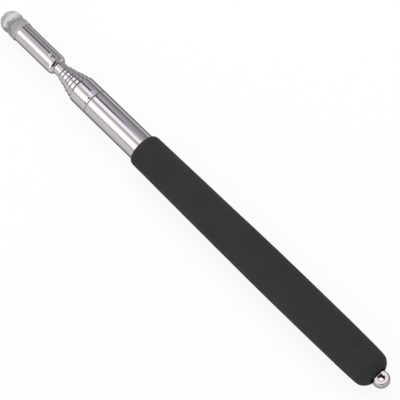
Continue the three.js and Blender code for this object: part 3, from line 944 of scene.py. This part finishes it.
FOAM_COLOUR = (0.034, 0.034, 0.034, 1)
FOAM_DARK = (0.027, 0.027, 0.027, 1)
FOAM_ROUGHNESS = (0.85, 0.98)
FOAM_GLOSS = 0.25
FOAM_TONE = 9.0
FOAM_TONE_SHARE = 0.6
FOAM_SPECK = 0.5
FOAM_SPECK_EDGE = (0.4, 0.75)
FOAM_SPECK_SHARE = 0.4
FOAM_GRAIN = 0.22
FOAM_GRAIN_RELIEF = -0.03
FOAM_PORE = 0.1
FOAM_PORE_RELIEF = 0.015
FOAM_CELL = 0.45
FOAM_CELL_DEPTH = 0.03
FOAM_WAVE = 14.0
FOAM_WAVE_DEPTH = 0.08
FOAM_REST_SOFTNESS = 0.25


def black_foam():
    """Matte black foam with fine closed cells, a little paler where its skin is rubbed."""
    material, surface, wiring, place = new_finish("black_foam", FOAM_COLOUR, 0.0)
    tone = noise(wiring, place, size=FOAM_TONE, detail=5.0)
    speck = noise(wiring, place, size=FOAM_SPECK, detail=3.0)
    share = wiring.maths("ADD", wiring.remap(tone, *PATCH_EDGE, 0.0, FOAM_TONE_SHARE),
                         wiring.remap(speck, *FOAM_SPECK_EDGE, 0.0, FOAM_SPECK_SHARE))
    wiring.feed(surface, "Base Color", mixed(wiring, share, FOAM_COLOUR, FOAM_DARK))
    wiring.feed(surface, "Roughness", wiring.remap(speck, *NOISE_SPREAD, *FOAM_ROUGHNESS))
    surface.inputs["Specular IOR Level"].default_value = FOAM_GLOSS
    grain = wiring.add("ShaderNodeTexVoronoi", {"Vector": place, "Scale": 1 / FOAM_GRAIN},
                       feature="SMOOTH_F1")
    pores = noise(wiring, place, size=FOAM_PORE, detail=3.0)
    relief(wiring, surface, [(grain.outputs["Distance"], FOAM_GRAIN_RELIEF),
                             (pores, FOAM_PORE_RELIEF)])
    return material


BLACK_FOAM = black_foam()

grip_front, grip_rear, belly_radius = span("grip_sleeve")
ball_radius = span("lanyard_eyelet")[2]
ball_x = span("lanyard_eyelet")[1] - ball_radius
grip_bore = handle_radius + GRIP_GAP
front_radius = grip_bore + GRIP_FRONT_THICKNESS
rear_radius = grip_bore + GRIP_REAR_THICKNESS
grip_mouth = math.sqrt(ball_radius ** 2 - (ball_x - grip_rear) ** 2) + GRIP_MOUTH_GAP
end_round_length = GRIP_END_ROUND_LENGTH / math.cos(math.asin(grip_mouth / rear_radius))
rim_radius = grip_mouth + GRIP_RIM_ROUND
rim_angle = math.asin(rim_radius / rear_radius)
belly_start = grip_front + GRIP_BELLY[0]
belly_end = grip_front + GRIP_BELLY[1]
body_start = grip_front + GRIP_FRONT_ROUND[0]
body_end = grip_rear - GRIP_END_ROUND_LENGTH
rim_x = body_end + end_round_length * math.cos(rim_angle)


def grip_radius(x):
    """The sleeve thickens in a straight taper, and thins from its belly in a quarter ellipse."""
    if x < belly_start:
        share = (belly_start - x) / (belly_start - body_start)
        return belly_radius - (belly_radius - front_radius) * share
    if x > belly_end:
        share = (x - belly_end) / (body_end - belly_end)
        return rear_radius + (belly_radius - rear_radius) * math.sqrt(max(0, 1 - share * share))
    return belly_radius


grip_rows = round((body_end - body_start) / GRIP_ROW_STEP)
body_rows = [body_start + (body_end - body_start) * i / grip_rows for i in range(1, grip_rows)]
grip_sleeve = turned("foam_grip", [
    (grip_front, grip_bore),
    *arc((body_start, front_radius - GRIP_FRONT_ROUND[1]), GRIP_FRONT_ROUND, 180, 90, steps=14),
    *[(x, grip_radius(x)) for x in body_rows],
    *arc((body_end, 0), (end_round_length, rear_radius), 90, math.degrees(rim_angle), steps=24),
    *arc((rim_x - GRIP_RIM_ROUND, rim_radius), (GRIP_RIM_ROUND, GRIP_RIM_ROUND), 0, -90)[1:],
    (grip_rear - GRIP_END_WALL, grip_mouth),
    (grip_rear - GRIP_END_WALL, grip_bore),
], BLACK_FOAM, facets=GRIP_FACETS)
run_tree(grip_sleeve, SOFT_SKIN, {
    "Cell Size": FOAM_CELL * MM,
    "Cell Depth": FOAM_CELL_DEPTH * MM,
    "Dent Size": FOAM_WAVE * MM,
    "Dent Depth": FOAM_WAVE_DEPTH * MM,
    "Skin Radius": grip_bore * MM,
    "Axis Height": AXIS_HEIGHT,
    "Rest Softness": FOAM_REST_SOFTNESS * MM,
    "Material": BLACK_FOAM,
})
shade(grip_sleeve, sharp_degrees=60)
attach(grip_sleeve, "handle")
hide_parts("grip_sleeve")


# Lanyard ball
# A nickel-plated ball is turned in one with its stem, milled flat above and below, and drilled
# through for a wrist cord. The hole is countersunk, and the edges of the flats are broken.

BALL_FACETS = 160
BALL_HOLE_RADIUS = 1.05
BALL_HOLE_CHAMFER = 0.2
BALL_EDGE_BREAK = 0.06
BALL_EDGE_BREAK_ANGLE = 1.5
STEM_RADIUS = 1.45
STEM_CHAMFER = 0.3
STEM_ROOT = 0.5
STEM_FACETS = 64

NICKEL_COLOUR = (0.56, 0.53, 0.53, 1)
NICKEL_ROUND_SHADE = (0.47, 0.44, 0.45, 1)
NICKEL_HOLE_SHADE = (0.2, 0.15, 0.16, 1)
NICKEL_ROUGHNESS = (0.06, 0.16)
DRILLED_ROUGHNESS = 0.3
DRILLED_EDGE = (0.03, 0.1)
DRILLED_FADE = 0.05
MILLED_EDGE = (0.08, 0.02)
MILL_RINGS_ACROSS = 9.0
MILL_RINGS_DOWN = 3.0
MILL_RING_HEIGHT = 0.0015
RUB_SIZE = 0.9
RUB_HEIGHT = 0.004

ball_low, ball_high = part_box("lanyard_eyelet")
ball_centre = Vector((ball_x * MM, 0, AXIS_HEIGHT))
half_flats = (ball_high.z - ball_low.z) / 2 / MM
flat_radius = math.sqrt(ball_radius ** 2 - half_flats ** 2)


def nickel_plate():
    """Bright nickel with rings round the hole from the mill, and painted shade in the hole and on the
    round.
    """
    material, surface, wiring, place = new_finish("nickel_plate", NICKEL_COLOUR, 1.0)
    centred = wiring.add("ShaderNodeVectorMath", {0: place, 1: tuple(ball_centre / MM)},
                         operation="SUBTRACT")
    parts = wiring.add("ShaderNodeSeparateXYZ", {0: centred.outputs[0]}).outputs
    from_hole = wiring.add("ShaderNodeVectorMath", {0: wiring.point(parts[0], parts[1])},
                           operation="LENGTH").outputs["Value"]
    rings = noise(wiring, wiring.point(wiring.maths("MULTIPLY", from_hole, MILL_RINGS_ACROSS),
                                       wiring.maths("MULTIPLY", parts[2], MILL_RINGS_DOWN)))
    rubs = noise(wiring, centred.outputs[0], size=RUB_SIZE, detail=5.0)
    off_middle = wiring.maths("ABSOLUTE", parts[2])
    chamfer_foot = half_flats - BALL_HOLE_CHAMFER
    near_hole = wiring.remap(from_hole, BALL_HOLE_RADIUS + DRILLED_EDGE[0],
                             BALL_HOLE_RADIUS + DRILLED_EDGE[1], 1, 0)
    in_hole = wiring.remap(off_middle, chamfer_foot - DRILLED_FADE, chamfer_foot + DRILLED_FADE, 1, 0)
    drilled_and_shaded = wiring.maths("MULTIPLY", near_hole, in_hole)
    milled = wiring.remap(off_middle, half_flats - MILLED_EDGE[0], half_flats - MILLED_EDGE[1], 0, 1)
    # Painted shade: the ball's round part is painted darker than its flats.
    shaded_round = mixed(wiring, milled, NICKEL_ROUND_SHADE, NICKEL_COLOUR)
    # Painted shade: the hole's wall is painted dark, and is also rougher.
    wiring.feed(surface, "Base Color", mixed(wiring, drilled_and_shaded, shaded_round, NICKEL_HOLE_SHADE))
    worn = wiring.remap(rubs, *NOISE_SPREAD, *NICKEL_ROUGHNESS)
    rough = wiring.maths("MULTIPLY", drilled_and_shaded, DRILLED_ROUGHNESS)
    wiring.feed(surface, "Roughness", wiring.maths("ADD", worn, rough))
    surface.inputs["Specular Tint"].default_value = STEEL_EDGE_TINT
    relief(wiring, surface, [(rings, MILL_RING_HEIGHT), (rubs, RUB_HEIGHT)])
    return material


NICKEL = nickel_plate()


def ball_section():
    """Half the outline of the flatted and drilled ball: (height, distance from the hole's axis)."""
    top = [
        (half_flats - BALL_HOLE_CHAMFER, BALL_HOLE_RADIUS),
        (half_flats, BALL_HOLE_RADIUS + BALL_HOLE_CHAMFER),
        (half_flats, flat_radius - 2 * BALL_EDGE_BREAK),
        (half_flats, flat_radius - BALL_EDGE_BREAK),
    ]
    edge = math.degrees(math.atan2(half_flats, flat_radius)) - BALL_EDGE_BREAK_ANGLE
    round_part = [(z, r) for r, z in arc((0, 0), (ball_radius, ball_radius), edge, -edge, steps=24)]
    return top + round_part + [(-z, r) for z, r in reversed(top)]


def spun_about_hole(section):
    """Rings of points and faces of the ball, spun about the axis of its hole."""
    points, faces = [], []
    count = len(section)
    for turn in range(BALL_FACETS):
        angle = 2 * math.pi * turn / BALL_FACETS
        for z, r in section:
            offset = Vector((r * math.cos(angle), r * math.sin(angle), z)) * MM
            points.append(ball_centre + offset)
    for turn in range(BALL_FACETS):
        here, there = turn * count, (turn + 1) % BALL_FACETS * count
        for i in range(count):
            j = (i + 1) % count
            faces.append((here + i, here + j, there + j, there + i))
    return points, faces


points, faces = spun_about_hole(ball_section())
eyelet = new_piece("lanyard_ball", points, (), faces)
eyelet.data.materials.append(NICKEL)
stem_front = ball_low.x / MM
stem_rear = ball_x - BALL_HOLE_RADIUS - STEM_ROOT
stem = turned("ball_stem", [
    (stem_front, 0),
    (stem_front, STEM_RADIUS - STEM_CHAMFER),
    (stem_front + STEM_CHAMFER, STEM_RADIUS),
    (stem_rear, STEM_RADIUS),
    (stem_rear, 0),
], NICKEL, facets=STEM_FACETS, closed=False)
joined = eyelet.modifiers.new("stem", "BOOLEAN")
joined.operation = "UNION"
joined.solver = "EXACT"
joined.object = stem
evaluated = eyelet.evaluated_get(bpy.context.evaluated_depsgraph_get())
whole_ball = bpy.data.meshes.new_from_object(evaluated)
eyelet.modifiers.clear()
eyelet.data = whole_ball
bpy.data.objects.remove(stem)
shade(eyelet)
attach(eyelet, "handle")
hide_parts("lanyard_eyelet")


# Floor, light and camera
# The pointer lies on white paper, in a studio whose light and dark walls are mirrored in its tubes
# as long bands. A soft lamp above its far side, which they don't mirror, lights the rest of it.

# The floor's and the lamp's sizes and places are in metres.
FLOOR_HALF_WIDTH = 4.0
FLOOR_DROP = 0.00002
FLOOR_COLOUR = (0.93, 0.93, 0.93, 1)
FLOOR_ROUGHNESS = 0.9
FLOOR_WASH = 0.88

# Brightness of the studio's walls against the angle from straight overhead about the pointer's
# axis, positive towards its near side. They are hung one behind the other along the pointer.
TIP_LIGHT = [(-90, 0.3), (-80, 0.36), (-66, 0.46), (-60, 0.52), (-49, 0.62), (-42, 0.58),
             (-37, 0.14), (-27, 0.14), (-19, 0.8), (-6, 0.91), (5, 0.8), (15, 0.95), (25, 1.67),
             (35, 1.9), (53, 1.9), (60, 1.4), (67, 0.9), (88, 1.0)]
COLLAR_LIGHT = [(-90, 0.25), (-73, 0.38), (-58, 0.54), (-41, 0.72), (-34, 0.6), (-31, 0.13),
                (-22, 0.13), (-18, 1.5), (-2, 1.8), (6, 1.17), (13, 0.6), (18, 0.7), (27, 1.4),
                (34, 1.9), (62, 1.9), (68, 1.2), (72, 0.72), (78, 0.85), (90, 1.1)]
GRIP_LIGHT = [(-90, 0.25), (-58, 0.5), (-41, 0.56), (-28, 0.78), (-15, 1.25), (-6, 1.78), (0, 1.6),
              (7, 1.17), (13, 0.62), (18, 0.72), (27, 1.4), (34, 1.9), (62, 1.9), (68, 1.2),
              (72, 0.72), (78, 0.85), (90, 1.1)]
TIP_LIGHT_END = (-24.15, -23.85)
COLLAR_LIGHT_END = (-22.0, -21.1)
REAR_END_LIGHT = (0.5, 0.47, 0.51, 1)
REAR_END_ANGLES = (14, 26)

# Panels on those walls: their extent along the pointer and about its axis in degrees, and their
# colour. The first darkens the front of each lip, the next four show in the ferrule's rolled
# end, and the last shows in the ball's flat.
PANELS = [
    ((-78, -66, -33, -27.5), (-70, -24, 100, 110), (0.05, 0.045, 0.055, 1)),
    ((-19.7, -19, 20, 27), (-34, -26, 0, 6), (0.25, 0.22, 0.26, 1)),
    ((-14, -8, 14, 22), (56, 64, 98, 106), (2.2, 2.15, 2.15, 1)),
    ((20, 27, 66, 71), (-12, -5, 66, 74), (0.03, 0.02, 0.03, 1)),
    ((71, 76, 91, 92), (-12, -5, 56, 64), (1.8, 1.75, 1.75, 1)),
    ((-17, -15, -7, -5), (-34, -26, 0, 6), (1.5, 1.37, 1.36, 1)),
]
STUDIO_TINTS = [(-90, (1, 0.96, 1.03)), (-25, (1, 0.96, 1.03)), (0, (1, 0.95, 0.98)),
                (30, (1, 0.98, 0.955)), (60, (1, 0.97, 0.95)), (75, (1, 0.94, 0.92))]

KEY_POWER = 13.0
KEY_SIZE = 1.6
KEY_PLACE = (-0.7, 0.45, 0.9)


def studio_floor():
    """White paper. What sees it directly or in a mirror sees it paler than its shadow is."""
    material, surface, wiring, _ = new_finish("studio_floor", FLOOR_COLOUR, 0.0)
    surface.inputs["Roughness"].default_value = FLOOR_ROUGHNESS
    surface.inputs["Specular IOR Level"].default_value = 0.0
    path = wiring.add("ShaderNodeLightPath").outputs
    mirrored = wiring.maths("MAXIMUM", path["Is Glossy Ray"], path["Is Transmission Ray"])
    seen = wiring.maths("MAXIMUM", path["Is Camera Ray"], mirrored)
    paper = wiring.add("ShaderNodeEmission", {"Color": (1, 1, 1, 1), "Strength": 1.0})
    washed = wiring.add("ShaderNodeMixShader", {
        0: wiring.maths("MULTIPLY", seen, FLOOR_WASH),
        1: surface.outputs[0],
        2: paper.outputs[0],
    })
    wiring.feed(material.node_tree.nodes["Material Output"], "Surface", washed.outputs[0])
    w = FLOOR_HALF_WIDTH
    corners = [(-w, -w, -FLOOR_DROP), (w, -w, -FLOOR_DROP), (w, w, -FLOOR_DROP), (-w, w, -FLOOR_DROP)]
    floor = new_piece("floor", corners, (), [(0, 1, 2, 3)])
    floor.data.materials.append(material)


def ramp(wiring, factor, stops):
    """A colour ramp over the angles from -180 to 180 degrees."""
    node = wiring.add("ShaderNodeValToRGB", {0: wiring.remap(factor, -180, 180, 0, 1)})
    elements = node.color_ramp.elements
    while len(elements) < len(stops):
        elements.new(0.5)
    for element, (degrees, colour) in zip(elements, stops):
        element.position = (degrees + 180) / 360
        element.color = (*colour, 1)
    return node.outputs[0]


def between(wiring, value, limits):
    """1 between the inner two limits, falling to 0 at the outer two."""
    rise = wiring.remap(value, limits[0], limits[1], 0, 1, smooth=True)
    fall = wiring.remap(value, limits[2], limits[3], 1, 0, smooth=True)
    return wiring.maths("MULTIPLY", rise, fall)


def studio_world():
    world = bpy.data.worlds.new("studio")
    bpy.context.scene.world = world
    world.use_nodes = True
    wiring = Wiring(world.node_tree)
    direction = wiring.add("ShaderNodeTexCoord").outputs["Generated"]
    parts = wiring.add("ShaderNodeSeparateXYZ", {0: direction}).outputs
    near = wiring.maths("MULTIPLY", parts[1], -1.0)
    about = wiring.maths("DEGREES", wiring.maths("ARCTAN2", near, parts[2]))
    along = wiring.maths("DEGREES", wiring.maths("ARCSINE", parts[0]))
    walls = [ramp(wiring, about, [(degrees, (grey, grey, grey)) for degrees, grey in wall])
             for wall in (TIP_LIGHT, COLLAR_LIGHT, GRIP_LIGHT)]
    light = mixed(wiring, wiring.remap(along, *TIP_LIGHT_END, 0, 1, smooth=True), *walls[:2])
    light = mixed(wiring, wiring.remap(along, *COLLAR_LIGHT_END, 0, 1, smooth=True), light, walls[2])
    light = mixed(wiring, 1.0, light, ramp(wiring, about, STUDIO_TINTS), kind="MULTIPLY")
    rear = wiring.remap(along, *REAR_END_ANGLES, 0, 1, smooth=True)
    light = mixed(wiring, rear, light, REAR_END_LIGHT)
    for panel_along, panel_about, colour in PANELS:
        panel = wiring.maths("MULTIPLY", between(wiring, along, panel_along),
                             between(wiring, about, panel_about))
        light = mixed(wiring, panel, light, colour)
    background = world.node_tree.nodes["Background"]
    wiring.feed(background, "Color", light)


def key_light():
    lamp = bpy.data.lights.new("key", "AREA")
    lamp.energy = KEY_POWER
    lamp.size = KEY_SIZE
    light = bpy.data.objects.new("key", lamp)
    light.location = KEY_PLACE
    light.rotation_mode = "QUATERNION"
    light.rotation_quaternion = Vector(KEY_PLACE).to_track_quat("Z", "Y")
    light.visible_glossy = False
    bpy.context.scene.collection.objects.link(light)


studio_floor()
studio_world()
key_light()

# The camera stands towards the ball's end and the near side, and its distance is in metres. In the
# picture the pointer slopes down to the right, and its axis passes just beside the middle.
CAMERA_LEAN = 18.5
CAMERA_SIDE = 14.7
PICTURE_SLOPE = 44.04
CAMERA_DISTANCE = 0.652
CAMERA_LENS = 180
AIM_ALONG = 4.95
AIM_ACROSS = 0.95

lean, side, slope = (math.radians(a) for a in (CAMERA_LEAN, CAMERA_SIDE, PICTURE_SLOPE))
backwards = Vector((math.sin(lean), -math.sin(side) * math.cos(lean), math.cos(side) * math.cos(lean)))
axis_seen = (Vector((1, 0, 0)) - backwards * backwards.x).normalized()
across_seen = backwards.cross(axis_seen)
right = axis_seen * math.cos(slope) + across_seen * math.sin(slope)
up = backwards.cross(right)
aim = Vector((AIM_ALONG * MM, 0, AXIS_HEIGHT)) + across_seen * AIM_ACROSS * MM
camera = bpy.data.objects.new("camera", bpy.data.cameras.new("camera"))
camera.data.lens = CAMERA_LENS
camera.matrix_world = Matrix.Translation(aim + backwards * CAMERA_DISTANCE) @ Matrix(
    (right, up, backwards)).transposed().to_4x4()
bpy.context.scene.collection.objects.link(camera)
bpy.context.scene.camera = camera
bpy.context.scene.view_settings.view_transform = "Standard"
